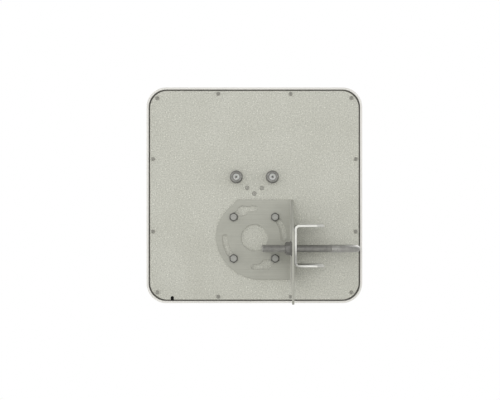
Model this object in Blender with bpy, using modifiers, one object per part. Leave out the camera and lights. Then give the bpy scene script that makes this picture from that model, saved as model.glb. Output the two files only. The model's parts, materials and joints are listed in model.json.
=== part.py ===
"""Flat panel antenna of an outdoor wireless bridge, on a tilting bracket and a pole clamp.

Frame: the origin is on the axis of the pole that the clamp holds, level with the U-bolt.
+Z is up along that axis, +Y is the way the antenna faces, and +X is to the right seen from behind.
"""
import math

import bmesh
import bpy
from mathutils import Matrix, Vector

# ------------------------------------------------------------------ driving dimensions, in metres
GAP = 0.0003                        # clearance between pieces that touch
WELD = 0.000001

# U-bolt and pole
POLE_RADIUS = 0.0278
ROD_RADIUS = 0.00476                # 3/8 inch bar
ROD_HOLE_RADIUS = 0.0053
LEG_END_X = -0.0991
LEG_Y = POLE_RADIUS + ROD_RADIUS

# saddle, a U channel of sheet steel
SADDLE_SHEET = 0.0031
SADDLE_REAR_X = -0.0546
SADDLE_MID_Z = 0.0042
SADDLE_HEIGHT = 0.0582
SADDLE_HALF_WIDTH = 0.0435
SADDLE_BEND = 0.0066                # outer radius
HORN_TIP_X = -0.0134
HORN_TIP_Y = 0.0333
HORN_NOTCH_Y = 0.0255
HORN_SHOULDER_X = -0.0236
TOOTH_DEPTH = 0.0015
TOOTH_COUNT = 9

# bracket, a plate and a blade folded from one sheet
SHEET = 0.0030
BLADE_REAR_X = -0.0579
PLATE_REAR_Y = 0.0627
BRACKET_BEND = 0.0045               # outer radius
BLADE_END_Y = -0.0460
BLADE_END_TOP_Z = 0.0275
BLADE_END_LOW_Z = -0.0783
BLADE_CORNER = 0.0060
TILT_UP = math.radians(15.0)
TILT_DOWN = math.radians(25.0)
TILT_SPARE = math.radians(1.5)

# the polarisation swivel: the panel's bolts travel in curved slots round a hole
SWIVEL = Vector((-0.1094, 0.0660, 0.0140))
SWIVEL_HOLE_RADIUS = 0.0188
BOLT_PITCH = 0.0293                 # each bolt's offset along X and Z from the swivel's axis
SLOT_WIDTH = 0.0078
SLOT_SWEEP = math.radians(46.0)
KEYHOLE_RADIUS = 0.0072
KEYHOLE_TURN = math.radians(22.0)
DISC_RADIUS = 0.0545
DISC_TOP = 0.0536
DISC_LOW = 0.0590
DISC_HEEL_RADIUS = 0.0630

# panel
PANEL_SIZE = 0.3050
PANEL_CORNER = 0.0280
PANEL_WALL = 0.0029
PANEL_RIM_Y = 0.0645
PANEL_FRONT_Y = 0.0930
PANEL_FRONT_EDGE = 0.0080
PANEL_LIFT = 0.0600                 # panel centre above the swivel axis
PLATE_SIZE = 0.2956
PLATE_CORNER = 0.0245
PLATE_THICKNESS = 0.0020
LEDGE_Y = 0.0702
LEDGE_HEIGHT = 0.0030
LEDGE_WIDTH = 0.0045
GASKET_THICKNESS = 0.0016
GASKET_WIDTH = 0.0100
DRAIN_X = -0.1162                   # from the panel's centre
DRAIN_WIDTH = 0.0045
DRAIN_DEPTH = 0.0050

# fasteners of the panel
COVER_SCREW_CORNER = 0.1374
COVER_SCREW_EDGE = 0.1435
COVER_SCREW_SIDE = 0.0513
COVER_SCREW_HEAD = 0.00275
COVER_SCREW_SHANK = 0.00145
COVER_SCREW_LENGTH = 0.0100
BOSS_RADIUS = 0.0040
BOARD_SCREW_PLACES = ((-0.0102, 0.0105), (0.0106, 0.0102), (0.0, 0.0024))
BOARD_SCREW_SHANK = 0.0015
BOARD_SCREW_HEAD = 0.0028
BOARD_SCREW_LENGTH = 0.0130

# bracket bolts, 1/4 inch
BOLT_SHANK = 0.003175
BOLT_FLATS = 0.0111
BOLT_HEAD = 0.0041
LOCK_WASHER_RADIUS = 0.0062
LOCK_WASHER_THICKNESS = 0.0016
CLINCH_RADIUS = 0.0055
CLINCH_HEIGHT = 0.0046
BOLT_HOLE_RADIUS = 0.0035

# flange nuts, 3/8 inch
NUT_FLATS = 0.0143
NUT_HEIGHT = 0.0086
NUT_FLANGE_RADIUS = 0.0100
NUT_FLANGE_EDGE = 0.0011
NUT_CONE_HEIGHT = 0.0032
NUT_BORE = 0.00510

# N jacks; heights are measured outward from the back plate's rear face
JACK_X = 0.0255                     # from the panel's centre
JACK_Z = 0.0260
JACK_LENGTH = 0.0190
JACK_THREAD = 0.00794
JACK_RELIEF = 0.0072
JACK_COLLAR = 0.0091
JACK_COLLAR_LOW = 0.0016
JACK_COLLAR_TOP = 0.0050
JACK_RELIEF_TOP = 0.0066
JACK_BORE = 0.0046
JACK_TAIL = 0.0075
JACK_INSULATOR_TOP = 0.0165
JACK_CONTACT = 0.0015
JACK_CONTACT_BORE = 0.00085
JACK_CONTACT_TOP = 0.0175
JACK_CONTACT_TAIL = 0.0108
JACK_NUT_FLATS = 0.0190
JACK_NUT_HEIGHT = 0.0030

# feed board and patches
BOARD_SIZE = 0.2680
BOARD_CORNER = 0.0200
BOARD_THICKNESS = 0.0016
BOARD_REAR_Y = 0.0745
PATCH_COUNT = 6
PATCH_PITCH = 0.0430
PATCH_SIZE = 0.0240
PATCH_HEIGHT = 0.0004
PATCH_BOARD_THICKNESS = 0.0008
FOAM_THICKNESS = 0.0055
FOAM_HOLE = 0.0040
SPACER_RADIUS = 0.0025
BOARD_NUT_FLATS = 0.0055
BOARD_NUT_HEIGHT = 0.0024

# facets of round shapes
FINE = 40
ROUND = 20
SMALL = 12

# ------------------------------------------------------------------ derived places
PANEL_X = SWIVEL.x
PANEL_Z = SWIVEL.z + PANEL_LIFT
BACK_Y = SWIVEL.y                   # the back plate's rear face
FACE_Y = BACK_Y + PLATE_THICKNESS   # the back plate's front face
TILT = Vector((BLADE_REAR_X + SHEET / 2, LEG_Y, 0.0))
SLOT_RADIUS = BOLT_PITCH * math.sqrt(2.0)
BOLT_ANGLES = [math.radians(angle) for angle in (45.0, 135.0, 225.0, 315.0)]
BOLT_PLACES = [(SWIVEL.x + SLOT_RADIUS * math.cos(a), SWIVEL.z + SLOT_RADIUS * math.sin(a))
               for a in BOLT_ANGLES]
COVER_SCREW_PLACES = [
    (PANEL_X + x, PANEL_Z + z)
    for across, along in ((COVER_SCREW_CORNER, COVER_SCREW_CORNER),
                          (COVER_SCREW_SIDE, COVER_SCREW_EDGE),
                          (COVER_SCREW_EDGE, COVER_SCREW_SIDE))
    for x in (-across, across)
    for z in (-along, along)]
BOARD_SCREWS = [(PANEL_X + x, PANEL_Z + z) for x, z in BOARD_SCREW_PLACES]
JACKS = {"left": (PANEL_X - JACK_X, PANEL_Z + JACK_Z), "right": (PANEL_X + JACK_X, PANEL_Z + JACK_Z)}

# turns that point a piece's own +Z backward (out of the back plate) or along -X (out of the blade)
BACKWARD = Matrix.Rotation(math.radians(90.0), 4, "X")
LEFTWARD = Matrix.Rotation(math.radians(-90.0), 4, "Y")


# ------------------------------------------------------------------ scene and placing
def empty_scene():
    for obj in list(bpy.data.objects):
        bpy.data.objects.remove(obj)


def new_collection(name):
    collection = bpy.data.collections.new(name)
    bpy.context.scene.collection.children.link(collection)
    return collection


def make_material(name, colour, roughness, metallic=0.0):
    material = bpy.data.materials.new(name)
    material.use_nodes = True
    shader = material.node_tree.nodes["Principled BSDF"]
    shader.inputs["Base Color"].default_value = (*colour, 1.0)
    shader.inputs["Roughness"].default_value = roughness
    shader.inputs["Metallic"].default_value = metallic
    return material


def make_pivot(name, where, parent=None):
    pivot = bpy.data.objects.new(name, None)
    pivot.empty_display_size = 0.03
    PARTS.objects.link(pivot)
    if parent:
        pivot.parent = parent
        where = where - parent.matrix_world.translation
    pivot.location = where
    bpy.context.view_layer.update()
    return pivot


def dress(mesh, material):
    """Give a mesh its material, and smooth shading with the edges of its form kept sharp."""
    mesh.materials.clear()
    mesh.materials.append(material)
    mesh.shade_smooth()
    mesh.set_sharp_from_angle(angle=math.radians(35.0))


def add_piece(name, mesh, material, pivot, where=(0, 0, 0), turn=None):
    """Put a mesh in the model as the piece called name, at a world place, under its pivot."""
    dress(mesh, material)
    piece = bpy.data.objects.new(name, mesh)
    PARTS.objects.link(piece)
    piece.parent = pivot
    piece.location = Vector(where) - pivot.matrix_world.translation
    if turn:
        piece.rotation_euler = turn.to_euler()
    bpy.context.view_layer.update()
    return piece


def add_each(name, mesh, material, places):
    """Identical pieces on the back plate's rear face, one object for each (x, z) place."""
    for number, (x, z) in enumerate(places, 1):
        add_piece(f"{name}_{number}", mesh, material, ANTENNA, (x, BACK_Y, z), BACKWARD)


# ------------------------------------------------------------------ outlines, as lists of (x, y)
def arc(centre, radius, start, end, steps):
    return [(centre[0] + radius * math.cos(start + (end - start) * i / steps),
             centre[1] + radius * math.sin(start + (end - start) * i / steps))
            for i in range(steps + 1)]


def circle(centre, radius, steps=ROUND):
    return arc(centre, radius, 0.0, 2 * math.pi, steps)[:-1]


def rounded_square(centre, half, radius, steps=8):
    points = []
    inset = half - radius
    for quarter, (sx, sy) in enumerate(((1, 1), (-1, 1), (-1, -1), (1, -1))):
        start = quarter * math.pi / 2
        corner = (centre[0] + sx * inset, centre[1] + sy * inset)
        points += arc(corner, radius, start, start + math.pi / 2, steps)
    return points


def polar(centre, radius, angle):
    return (centre[0] + radius * math.cos(angle), centre[1] + radius * math.sin(angle))


def arc_slot(centre, radius, width, start, end, keyhole=None, steps=12):
    """A curved slot with round ends; keyhole is (angle, radius) of a round opening in it."""
    half = width / 2
    outer = arc(centre, radius + half, start, end, steps)
    inner = arc(centre, radius - half, end, start, steps)
    if keyhole:
        turn, hole = keyhole
        outer = widened(centre, radius, radius + half, start, end, turn, hole, 1)
        inner = widened(centre, radius, radius - half, start, end, turn, hole, -1)[::-1]
    far_cap = arc(polar(centre, radius, end), half, end, end + math.pi, 8)[1:-1]
    near_cap = arc(polar(centre, radius, start), half, start + math.pi, start + 2 * math.pi, 8)[1:-1]
    return outer + far_cap + inner + near_cap


def widened(centre, radius, edge, start, end, turn, hole, side):
    """One edge of a curved slot, with a round opening's arc let into it."""
    spread = math.acos((radius ** 2 + edge ** 2 - hole ** 2) / (2 * radius * edge))
    middle = polar(centre, radius, turn)
    first = polar(centre, edge, turn - spread)
    facing = turn if side > 0 else turn + math.pi
    begin = math.atan2(first[1] - middle[1], first[0] - middle[0])
    opening = (begin - facing + math.pi) % (2 * math.pi) - math.pi
    return (arc(centre, edge, start, turn - spread, 5)
            + arc(middle, hole, facing + opening, facing - opening, 10)[1:-1]
            + arc(centre, edge, turn + spread, end, 5))


# ------------------------------------------------------------------ meshes from Blender's tools
def mesh_from_object(obj):
    """The evaluated mesh of a curve or a modified object, welded; the object is removed."""
    bpy.context.view_layer.update()
    depsgraph = bpy.context.evaluated_depsgraph_get()
    mesh = bpy.data.meshes.new_from_object(obj.evaluated_get(depsgraph))
    bpy.data.objects.remove(obj)
    bm = bmesh.new()
    bm.from_mesh(mesh)
    bmesh.ops.remove_doubles(bm, verts=bm.verts, dist=WELD)
    bm.to_mesh(mesh)
    bm.free()
    return mesh


def outline_mesh(loops, thickness=0.0):
    """Fill an outline and the holes in it, in the XY plane, as a sheet or an open surface."""
    curve = bpy.data.curves.new("outline", "CURVE")
    curve.dimensions = "2D"
    curve.fill_mode = "BOTH"
    curve.extrude = thickness / 2
    for loop in loops:
        spline = curve.splines.new("POLY")
        spline.points.add(len(loop) - 1)
        for point, (x, y) in zip(spline.points, loop):
            point.co = (x, y, 0.0, 1.0)
        spline.use_cyclic_u = True
    obj = bpy.data.objects.new("outline", curve)
    GUIDES.objects.link(obj)
    return mesh_from_object(obj)


def turned_mesh(profile, steps=ROUND, closed=False):
    """Turn a profile of (radius, height), outer side first and top to bottom, about Z."""
    mesh = bpy.data.meshes.new("profile")
    count = len(profile)
    edges = [(i, i + 1) for i in range(count - 1)]
    if closed:
        edges.append((count - 1, 0))
    mesh.from_pydata([(r, 0.0, z) for r, z in profile], edges, [])
    obj = bpy.data.objects.new("profile", mesh)
    GUIDES.objects.link(obj)
    screw = obj.modifiers.new("turn", "SCREW")
    screw.steps = steps
    screw.render_steps = steps
    screw.use_merge_vertices = True
    screw.merge_threshold = WELD
    return mesh_from_object(obj)


def cylinder_mesh(radius, low, high, steps=ROUND):
    """A cylinder about Z between two heights."""
    bm = bmesh.new()
    bmesh.ops.create_cone(bm, cap_ends=True, segments=steps, radius1=radius, radius2=radius,
                          depth=high - low, matrix=Matrix.Translation((0, 0, (low + high) / 2)))
    mesh = bpy.data.meshes.new("cylinder")
    bm.to_mesh(mesh)
    bm.free()
    return mesh


def hexagon_mesh(flats, low, high, turn=0.0):
    """A hexagonal prism about Z; its corners point along X unless it is turned."""
    radius = flats / math.sqrt(3.0)
    mesh = cylinder_mesh(radius, low, high, 6)
    first = math.atan2(mesh.vertices[0].co.y, mesh.vertices[0].co.x)
    mesh.transform(Matrix.Rotation(turn - first, 4, "Z"))
    return mesh


def with_tools(mesh, *steps):
    """Join, cut or keep a mesh with Boolean tools; each step is an operation and a tool's mesh."""
    body = bpy.data.objects.new("body", mesh)
    GUIDES.objects.link(body)
    tools = []
    for operation, tool_mesh in steps:
        tool = bpy.data.objects.new("tool", tool_mesh)
        GUIDES.objects.link(tool)
        tool.display_type = "WIRE"
        tool.hide_render = True
        tools.append(tool)
        boolean = body.modifiers.new(operation, "BOOLEAN")
        boolean.operation = operation
        boolean.solver = "EXACT"
        boolean.object = tool
    result = mesh_from_object(body)
    for tool in tools:
        bpy.data.objects.remove(tool)
    return result


def thickened(mesh, thickness, offset):
    """An open surface made a shell; offset -1 thickens inward and 0 to both sides."""
    surface = bpy.data.objects.new("surface", mesh)
    GUIDES.objects.link(surface)
    solidify = surface.modifiers.new("wall", "SOLIDIFY")
    solidify.thickness = thickness
    solidify.offset = offset
    solidify.use_even_offset = True
    return mesh_from_object(surface)


def copies(mesh, places):
    """One mesh that holds a copy of another at each place, as separate bodies."""
    bm = bmesh.new()
    for place in places:
        copy = mesh.copy()
        copy.transform(place)
        bm.from_mesh(copy)
        bpy.data.meshes.remove(copy)
    result = bpy.data.meshes.new("copies")
    bm.to_mesh(result)
    bm.free()
    return result


# ------------------------------------------------------------------ panel
def make_radome():
    """The front tray: a walled box with a ledge for the gasket, and bosses for the cover's screws."""
    places = from_panel_centre(COVER_SCREW_PLACES)
    boss_low = BACK_Y - PANEL_FRONT_Y + PANEL_WALL / 2
    bosses = cylinder_mesh(BOSS_RADIUS, boss_low, BACK_Y - LEDGE_Y - GAP, SMALL)
    pilot_low = -PLATE_THICKNESS - COVER_SCREW_LENGTH - GAP
    pilots = cylinder_mesh(COVER_SCREW_SHANK + GAP, pilot_low, 0.0, SMALL)
    radome = with_tools(thickened(open_box_mesh(), PANEL_WALL, -1.0),
                        ("UNION", ledge_mesh()),
                        ("UNION", copies(bosses, places)),
                        ("DIFFERENCE", copies(pilots, places)))
    add_piece("radome", radome, RADOME_PLASTIC, ANTENNA, (PANEL_X, BACK_Y, PANEL_Z))


def open_box_mesh():
    """The tray's outer surface, open at the rear, with rounded corners and a rounded front edge."""
    bm = bmesh.new()
    bmesh.ops.create_cube(bm, size=1.0)
    depth = PANEL_FRONT_Y - PANEL_RIM_Y
    bmesh.ops.scale(bm, vec=(PANEL_SIZE, depth, PANEL_SIZE), verts=bm.verts)
    bmesh.ops.translate(bm, vec=(0, PANEL_RIM_Y - BACK_Y + depth / 2, 0), verts=bm.verts)
    along_y = [e for e in bm.edges if abs(e.verts[0].co.y - e.verts[1].co.y) > depth / 2]
    bmesh.ops.bevel(bm, geom=along_y, offset=PANEL_CORNER, segments=8, profile=0.5, affect="EDGES")
    rear = [f for f in bm.faces if f.normal.y < -0.9]
    bmesh.ops.delete(bm, geom=rear, context="FACES_ONLY")
    front = PANEL_FRONT_Y - BACK_Y - WELD
    front_edges = [e for e in bm.edges if min(v.co.y for v in e.verts) > front]
    bmesh.ops.bevel(bm, geom=front_edges, offset=PANEL_FRONT_EDGE, segments=4, profile=0.5,
                    affect="EDGES")
    mesh = bpy.data.meshes.new("open_box")
    bm.to_mesh(mesh)
    bm.free()
    return mesh


def ledge_mesh():
    """The ledge inside the tray that carries the gasket, as a flat ring in its own frame."""
    inner_half = PANEL_SIZE / 2 - PANEL_WALL
    inner_corner = PANEL_CORNER - PANEL_WALL
    overlap = PANEL_WALL / 2
    ring = outline_mesh([
        rounded_square((0, 0), inner_half + overlap, inner_corner + overlap),
        rounded_square((0, 0), inner_half - LEDGE_WIDTH, inner_corner - LEDGE_WIDTH)], LEDGE_HEIGHT)
    middle = LEDGE_Y - BACK_Y + LEDGE_HEIGHT / 2
    ring.transform(Matrix.Translation((0, middle, 0)) @ BACKWARD)
    return ring


def from_panel_centre(places):
    """Transforms that stand a piece on the back plate, for meshes whose origin is the panel's."""
    return [Matrix.Translation((x - PANEL_X, 0, z - PANEL_Z)) @ BACKWARD for x, z in places]


def make_gasket():
    half = PANEL_SIZE / 2 - PANEL_WALL - GAP
    corner = PANEL_CORNER - PANEL_WALL - GAP
    loops = [rounded_square((0, 0), half, corner),
             rounded_square((0, 0), half - GASKET_WIDTH, corner - GASKET_WIDTH)]
    loops += [circle((x - PANEL_X, z - PANEL_Z), COVER_SCREW_SHANK + GAP, SMALL)
              for x, z in COVER_SCREW_PLACES]
    add_piece("gasket", outline_mesh(loops, GASKET_THICKNESS), RUBBER, ANTENNA,
              (PANEL_X, FACE_Y + GAP + GASKET_THICKNESS / 2, PANEL_Z), BACKWARD)


def plate_outline():
    """The back plate's edge, with the drain notch let into its bottom side."""
    half = PLATE_SIZE / 2
    outline = rounded_square((0, 0), half, PLATE_CORNER)
    last_of_bottom_left = len(outline) * 3 // 4
    notch = arc((DRAIN_X, -half + DRAIN_DEPTH - DRAIN_WIDTH / 2), DRAIN_WIDTH / 2, math.pi, 0.0, 8)
    notch = [(DRAIN_X - DRAIN_WIDTH / 2, -half)] + notch + [(DRAIN_X + DRAIN_WIDTH / 2, -half)]
    return outline[:last_of_bottom_left] + notch + outline[last_of_bottom_left:]


def make_back_plate():
    loops = [plate_outline()]
    loops += [circle((x - PANEL_X, z - PANEL_Z), COVER_SCREW_SHANK + 2 * GAP, SMALL)
              for x, z in COVER_SCREW_PLACES]
    loops += [circle((x - PANEL_X, z - PANEL_Z), BOLT_HOLE_RADIUS) for x, z in BOLT_PLACES]
    loops += [circle((x - PANEL_X, z - PANEL_Z), JACK_THREAD + GAP, FINE) for x, z in JACKS.values()]
    loops += [circle((x - PANEL_X, z - PANEL_Z), BOARD_SCREW_SHANK + GAP, SMALL)
              for x, z in BOARD_SCREWS]
    sink = turned_mesh([(0.0, GAP * 3), (BOARD_SCREW_HEAD + GAP * 4, GAP * 3),
                        (BOARD_SCREW_SHANK + GAP, BOARD_SCREW_SHANK - BOARD_SCREW_HEAD),
                        (0.0, BOARD_SCREW_SHANK - BOARD_SCREW_HEAD)], SMALL)
    sheet = outline_mesh(loops, PLATE_THICKNESS)
    sheet.transform(Matrix.Translation((0, PLATE_THICKNESS / 2, 0)) @ BACKWARD)
    plate = with_tools(sheet, ("DIFFERENCE", copies(sink, from_panel_centre(BOARD_SCREWS))))
    add_piece("back_plate", plate, PLATE_METAL, ANTENNA, (PANEL_X, BACK_Y, PANEL_Z))


def make_cover_screws():
    """Pan-head screws, their heads on the back plate's rear face."""
    head = COVER_SCREW_HEAD
    profile = [(0.0, GAP + 0.0021), (head * 0.5, GAP + 0.0020), (head * 0.85, GAP + 0.0015),
               (head, GAP + 0.0007), (head, GAP), (COVER_SCREW_SHANK, GAP),
               (COVER_SCREW_SHANK, 0.001 - COVER_SCREW_LENGTH), (0.0, -COVER_SCREW_LENGTH)]
    add_each("cover_screw", turned_mesh(profile, SMALL), SCREW_STEEL, COVER_SCREW_PLACES)


def make_board_screws():
    """Countersunk screws, flush with the back plate's rear face."""
    head = BOARD_SCREW_HEAD
    shank = BOARD_SCREW_SHANK
    profile = [(0.0, -GAP / 2), (head, -GAP / 2), (shank, shank - head - GAP / 2),
               (shank, -BOARD_SCREW_LENGTH), (0.0, -BOARD_SCREW_LENGTH)]
    add_each("board_screw", turned_mesh(profile, SMALL), SCREW_STEEL, BOARD_SCREWS)


def board_loops(*holes):
    """A board's outline, with round holes given as pairs of places and a radius."""
    loops = [rounded_square((0, 0), BOARD_SIZE / 2, BOARD_CORNER)]
    for places, radius in holes:
        loops += [circle((x - PANEL_X, z - PANEL_Z), radius, SMALL) for x, z in places]
    return loops


def make_boards():
    """The feed board on its spacers, a foam sheet on it, and the patch board on that."""
    bore = BOARD_SCREW_SHANK + GAP
    feed_front = BOARD_REAR_Y + BOARD_THICKNESS
    foam_front = feed_front + GAP + FOAM_THICKNESS
    patch_rear = foam_front + GAP
    jacks = list(JACKS.values())
    feed = outline_mesh(board_loops((BOARD_SCREWS, bore), (jacks, JACK_CONTACT + GAP)), BOARD_THICKNESS)
    add_piece("feed_board", feed, BOARD_GREEN, ANTENNA,
              (PANEL_X, feed_front - BOARD_THICKNESS / 2, PANEL_Z), BACKWARD)
    foam = outline_mesh(board_loops((BOARD_SCREWS, FOAM_HOLE), (jacks, FOAM_HOLE)), FOAM_THICKNESS)
    add_piece("foam_sheet", foam, FOAM, ANTENNA,
              (PANEL_X, foam_front - FOAM_THICKNESS / 2, PANEL_Z), BACKWARD)
    board = outline_mesh(board_loops(), PATCH_BOARD_THICKNESS)
    board.transform(BACKWARD)
    add_piece("patch_board", with_tools(board, ("UNION", patches_mesh())), COPPER, ANTENNA,
              (PANEL_X, patch_rear + PATCH_BOARD_THICKNESS / 2, PANEL_Z))

    low = BACK_Y - BOARD_REAR_Y + GAP
    high = -PLATE_THICKNESS - GAP
    tube = turned_mesh([(SPACER_RADIUS, high), (SPACER_RADIUS, low), (bore, low), (bore, high)],
                       SMALL, closed=True)
    add_each("board_spacer", tube, NYLON, BOARD_SCREWS)
    top = BACK_Y - feed_front - GAP
    drill = cylinder_mesh(bore, top - 2 * BOARD_NUT_HEIGHT, top + BOARD_NUT_HEIGHT, SMALL)
    nut = with_tools(hexagon_mesh(BOARD_NUT_FLATS, top - BOARD_NUT_HEIGHT, top), ("DIFFERENCE", drill))
    add_each("board_nut", nut, SCREW_STEEL, BOARD_SCREWS)


def patches_mesh():
    """Square patches in rows and columns, let into the patch board's front face."""
    bm = bmesh.new()
    first = -(PATCH_COUNT - 1) / 2
    front = PATCH_BOARD_THICKNESS / 2
    size = Matrix.Diagonal((PATCH_SIZE, 2 * PATCH_HEIGHT, PATCH_SIZE, 1.0))
    for row in range(PATCH_COUNT):
        for column in range(PATCH_COUNT):
            x = (first + column) * PATCH_PITCH
            z = (first + row) * PATCH_PITCH
            bmesh.ops.create_cube(bm, size=1.0, matrix=Matrix.Translation((x, front, z)) @ size)
    mesh = bpy.data.meshes.new("patches")
    bm.to_mesh(mesh)
    bm.free()
    return mesh


def make_bolts():
    """Bracket bolts with their spring washers, and the clinch nuts behind the back plate."""
    washer_low = BACK_Y - PLATE_REAR_Y + GAP
    washer_high = washer_low + LOCK_WASHER_THICKNESS
    head_low = washer_high + GAP
    head_high = head_low + BOLT_HEAD
    corner = BOLT_FLATS / math.sqrt(3.0)
    chamfer = turned_mesh([(0.0, head_high), (BOLT_FLATS * 0.47, head_high),
                           (corner + 0.0002, head_high - 0.0009), (corner + 0.0002, head_low),
                           (0.0, head_low)])
    hexagon = hexagon_mesh(BOLT_FLATS, head_low - 0.001, head_high + 0.001, math.pi / 2)
    shank_end = -PLATE_THICKNESS - GAP - CLINCH_HEIGHT
    shank = turned_mesh([(0.0, head_low + 0.001), (BOLT_SHANK, head_low + 0.001),
                         (BOLT_SHANK, shank_end + 0.0008), (BOLT_SHANK - 0.0008, shank_end),
                         (0.0, shank_end)])
    bolt = with_tools(hexagon, ("INTERSECT", chamfer), ("UNION", shank))
    add_each("bracket_bolt", bolt, BOLT_STEEL, BOLT_PLACES)

    split = math.radians(8.0)
    outer = arc((0, 0), LOCK_WASHER_RADIUS, split, 2 * math.pi - split, ROUND)
    inner = arc((0, 0), BOLT_SHANK + GAP, 2 * math.pi - split, split, ROUND)
    washer = outline_mesh([outer + inner], LOCK_WASHER_THICKNESS)
    washer.transform(Matrix.Translation((0, 0, (washer_low + washer_high) / 2)))
    add_each("lock_washer", washer, BOLT_STEEL, BOLT_PLACES)

    top = -PLATE_THICKNESS - GAP
    low = top - CLINCH_HEIGHT
    bore = BOLT_SHANK + GAP
    nut = turned_mesh([(CLINCH_RADIUS, top), (CLINCH_RADIUS, low), (bore, low), (bore, top)],
                      ROUND, closed=True)
    add_each("clinch_nut", nut, SCREW_STEEL, BOLT_PLACES)


def make_jack(side, place):
    """One N jack: shell, insulator, centre contact, seal and the nut inside the panel."""
    where = (place[0], BACK_Y, place[1])
    tail = -JACK_TAIL
    shell = turned_mesh([
        (JACK_THREAD - 0.0006, JACK_LENGTH), (JACK_THREAD, JACK_LENGTH - 0.0007),
        (JACK_THREAD, JACK_RELIEF_TOP), (JACK_RELIEF, JACK_RELIEF_TOP - 0.0004),
        (JACK_RELIEF, JACK_COLLAR_TOP), (JACK_COLLAR - 0.0005, JACK_COLLAR_TOP),
        (JACK_COLLAR, JACK_COLLAR_TOP - 0.0005), (JACK_COLLAR, JACK_COLLAR_LOW),
        (JACK_THREAD, JACK_COLLAR_LOW), (JACK_THREAD, tail), (JACK_BORE, tail),
        (JACK_BORE, JACK_LENGTH)], ROUND, closed=True)
    add_piece(f"n_jack_shell_{side}", shell, NICKEL, ANTENNA, where, BACKWARD)

    outer = JACK_BORE - GAP
    inner = JACK_CONTACT + GAP
    insulator = turned_mesh([(outer, JACK_INSULATOR_TOP), (outer, tail), (inner, tail),
                             (inner, JACK_INSULATOR_TOP)], ROUND, closed=True)
    add_piece(f"n_jack_insulator_{side}", insulator, PTFE, ANTENNA, where, BACKWARD)

    bore_end = JACK_CONTACT_TOP - 0.006
    contact = turned_mesh([
        (0.0, bore_end), (JACK_CONTACT_BORE, bore_end), (JACK_CONTACT_BORE, JACK_CONTACT_TOP),
        (JACK_CONTACT, JACK_CONTACT_TOP), (JACK_CONTACT, -JACK_CONTACT_TAIL),
        (0.0, -JACK_CONTACT_TAIL)], SMALL)
    add_piece(f"n_jack_contact_{side}", contact, CONTACT_PLATING, ANTENNA, where, BACKWARD)

    seal_bore = JACK_THREAD + GAP
    seal_top = JACK_COLLAR_LOW - GAP
    seal_edge = JACK_COLLAR - GAP
    seal = turned_mesh([(seal_edge, seal_top), (seal_edge, GAP), (seal_bore, GAP),
                        (seal_bore, seal_top)], ROUND, closed=True)
    add_piece(f"n_jack_seal_{side}", seal, RUBBER, ANTENNA, where, BACKWARD)

    top = -PLATE_THICKNESS - GAP
    drill = cylinder_mesh(seal_bore, top - 2 * JACK_NUT_HEIGHT, JACK_NUT_HEIGHT)
    nut = with_tools(hexagon_mesh(JACK_NUT_FLATS, top - JACK_NUT_HEIGHT, top), ("DIFFERENCE", drill))
    add_piece(f"n_jack_nut_{side}", nut, NICKEL, ANTENNA, where, BACKWARD)


# ------------------------------------------------------------------ folded sheet steel
def folded_piece(name, blank, fold_lines, fold, sheet, material, pivot):
    """Fold a flat blank: slice it along the bend, move its points, and give it thickness."""
    bm = bmesh.new()
    bm.from_mesh(blank)
    for where, normal in fold_lines:
        bmesh.ops.bisect_plane(bm, geom=bm.verts[:] + bm.edges[:] + bm.faces[:],
                               plane_co=where, plane_no=normal, dist=WELD)
    origin = pivot.matrix_world.translation
    for vertex in bm.verts:
        vertex.co = fold(vertex.co.x, vertex.co.y) - origin
    bmesh.ops.recalc_face_normals(bm, faces=bm.faces)
    bm.to_mesh(blank)
    bm.free()
    add_piece(name, thickened(blank, sheet, 0.0), material, pivot, origin)


def bend_slices(start, length, count=6):
    return [start + length * i / count for i in range(count + 1)]


def make_bracket():
    """The L bracket: its blank runs along X over the plate and then, past the bend, the blade."""
    middle_radius = BRACKET_BEND - SHEET / 2
    bend_length = middle_radius * math.pi / 2
    bend_start = BLADE_REAR_X + SHEET - BRACKET_BEND
    bend_end = bend_start + bend_length
    plate_y = PLATE_REAR_Y + SHEET / 2
    blade_start_y = plate_y - middle_radius
    blade_end = bend_end + blade_start_y - BLADE_END_Y

    def fold(u, v):
        if u <= bend_start:
            return Vector((u, plate_y, v))
        if u < bend_end:
            turn = (u - bend_start) / middle_radius
            return Vector((bend_start + middle_radius * math.sin(turn),
                           blade_start_y + middle_radius * math.cos(turn), v))
        return Vector((TILT.x, blade_start_y - (u - bend_end), v))

    def on_blade(y, z):
        return (bend_end + blade_start_y - y, z)

    loops = [bracket_outline(bend_end, blade_end), circle((SWIVEL.x, SWIVEL.z), SWIVEL_HOLE_RADIUS, FINE)]
    for index, angle in enumerate(BOLT_ANGLES):
        keyhole = (angle - KEYHOLE_TURN, KEYHOLE_RADIUS) if index % 2 else None
        loops.append(arc_slot((SWIVEL.x, SWIVEL.z), SLOT_RADIUS, SLOT_WIDTH, angle - SLOT_SWEEP, angle,
                              keyhole))
    far_hole = on_blade(LEG_Y, 0.0)
    loops.append(circle(far_hole, ROD_HOLE_RADIUS))
    loops.append(arc_slot(far_hole, 2 * LEG_Y, 2 * ROD_HOLE_RADIUS, -TILT_DOWN - TILT_SPARE,
                          TILT_UP + TILT_SPARE))
    lines = [((u, 0, 0), (1, 0, 0)) for u in bend_slices(bend_start, bend_length)]
    folded_piece("l_bracket", outline_mesh(loops), lines, fold, SHEET, BRACKET_STEEL, TILTING)


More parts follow.
